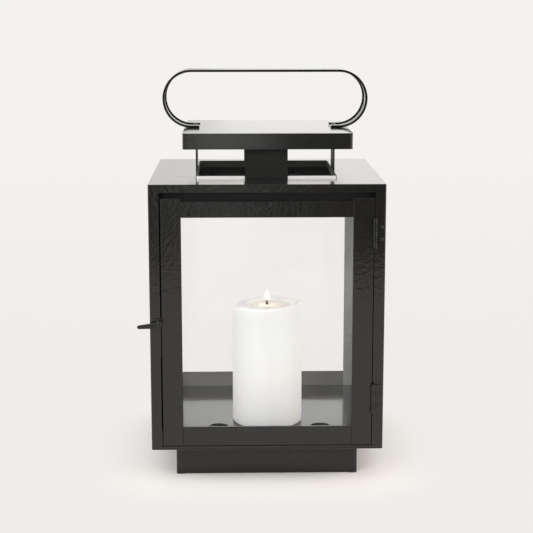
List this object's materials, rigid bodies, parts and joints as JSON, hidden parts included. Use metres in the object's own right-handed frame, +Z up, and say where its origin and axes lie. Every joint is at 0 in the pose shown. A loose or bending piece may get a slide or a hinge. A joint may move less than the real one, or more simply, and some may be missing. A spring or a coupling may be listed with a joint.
{
  "type": "candle lantern",
  "caption": "Square glazed table lantern with a hinged front door, drop latch, raised vent cap, strap handle and a pillar candle inside.",
  "frame": {"origin": "on the resting plane, under the middle of the square body", "axes": "+Z up, door towards -Y, hinges on the +X side of the door, latch on the -X side"},
  "size_m": [0.2453, 0.2373, 0.409],
  "materials": {
    "black_paint": "semi-gloss black paint with fine orange peel",
    "dark_steel": "blackened steel, satin",
    "zinc_steel": "zinc plated steel, satin",
    "black_rubber": "matte",
    "clear_glass": "clear float glass",
    "white_wax": "smooth translucent white wax",
    "wick_cotton": "charred cotton"
  },
  "bodies": {
    "body": {"base_skirt": "black_paint", "foot_pads": "black_rubber", "base_plate": "black_paint", "front_left_post": "black_paint", "front_right_post": "black_paint", "rear_left_post": "black_paint", "rear_right_post": "black_paint", "front_bottom_rail": "black_paint", "rear_bottom_rail": "black_paint", "left_bottom_rail": "black_paint", "right_bottom_rail": "black_paint", "front_top_rail": "black_paint", "rear_top_rail": "black_paint", "left_top_rail": "black_paint", "right_top_rail": "black_paint", "rear_glass": "clear_glass", "left_glass": "clear_glass", "right_glass": "clear_glass", "glass_clips": "dark_steel", "roof_plate": "black_paint", "vent_collar": "zinc_steel", "front_cap_support": "black_paint", "rear_cap_support": "black_paint", "left_cap_support": "black_paint", "right_cap_support": "black_paint", "cap": "black_paint", "handle_strap": "black_paint", "handle_rivets": "black_paint", "upper_frame_leaf": "black_paint", "lower_frame_leaf": "black_paint", "upper_hinge_pin": "black_paint", "lower_hinge_pin": "black_paint", "hinge_rivets": "black_paint", "latch_stud": "black_paint"},
    "door": {"left_door_stile": "black_paint", "right_door_stile": "black_paint", "top_door_rail": "black_paint", "bottom_door_rail": "black_paint", "door_glass": "clear_glass", "door_clips": "dark_steel", "upper_door_leaf": "black_paint", "lower_door_leaf": "black_paint", "latch_bracket": "black_paint", "latch_rivet": "black_paint"},
    "latch": {"latch_lever": "black_paint"},
    "candle": {"candle_wax": "white_wax", "candle_wick": "wick_cotton"}
  },
  "joints": [
    {"name": "door_hinge", "type": "hinge", "parent": "body", "child": "door", "pos_m": [0.1058, -0.1183, 0.1699], "axis": [0, 0, 1], "range_deg": [0, 165]},
    {"name": "latch_pivot", "type": "hinge", "parent": "door", "child": "latch", "pos_m": [-0.1068, -0.1192, 0.1644], "axis": [0, 1, 0], "range_deg": [0, 80]},
    {"name": "candle_lift", "type": "slide", "parent": "body", "child": "candle", "axis": [0, 0, 1], "range_m": [0, 0.06]}
  ]
}
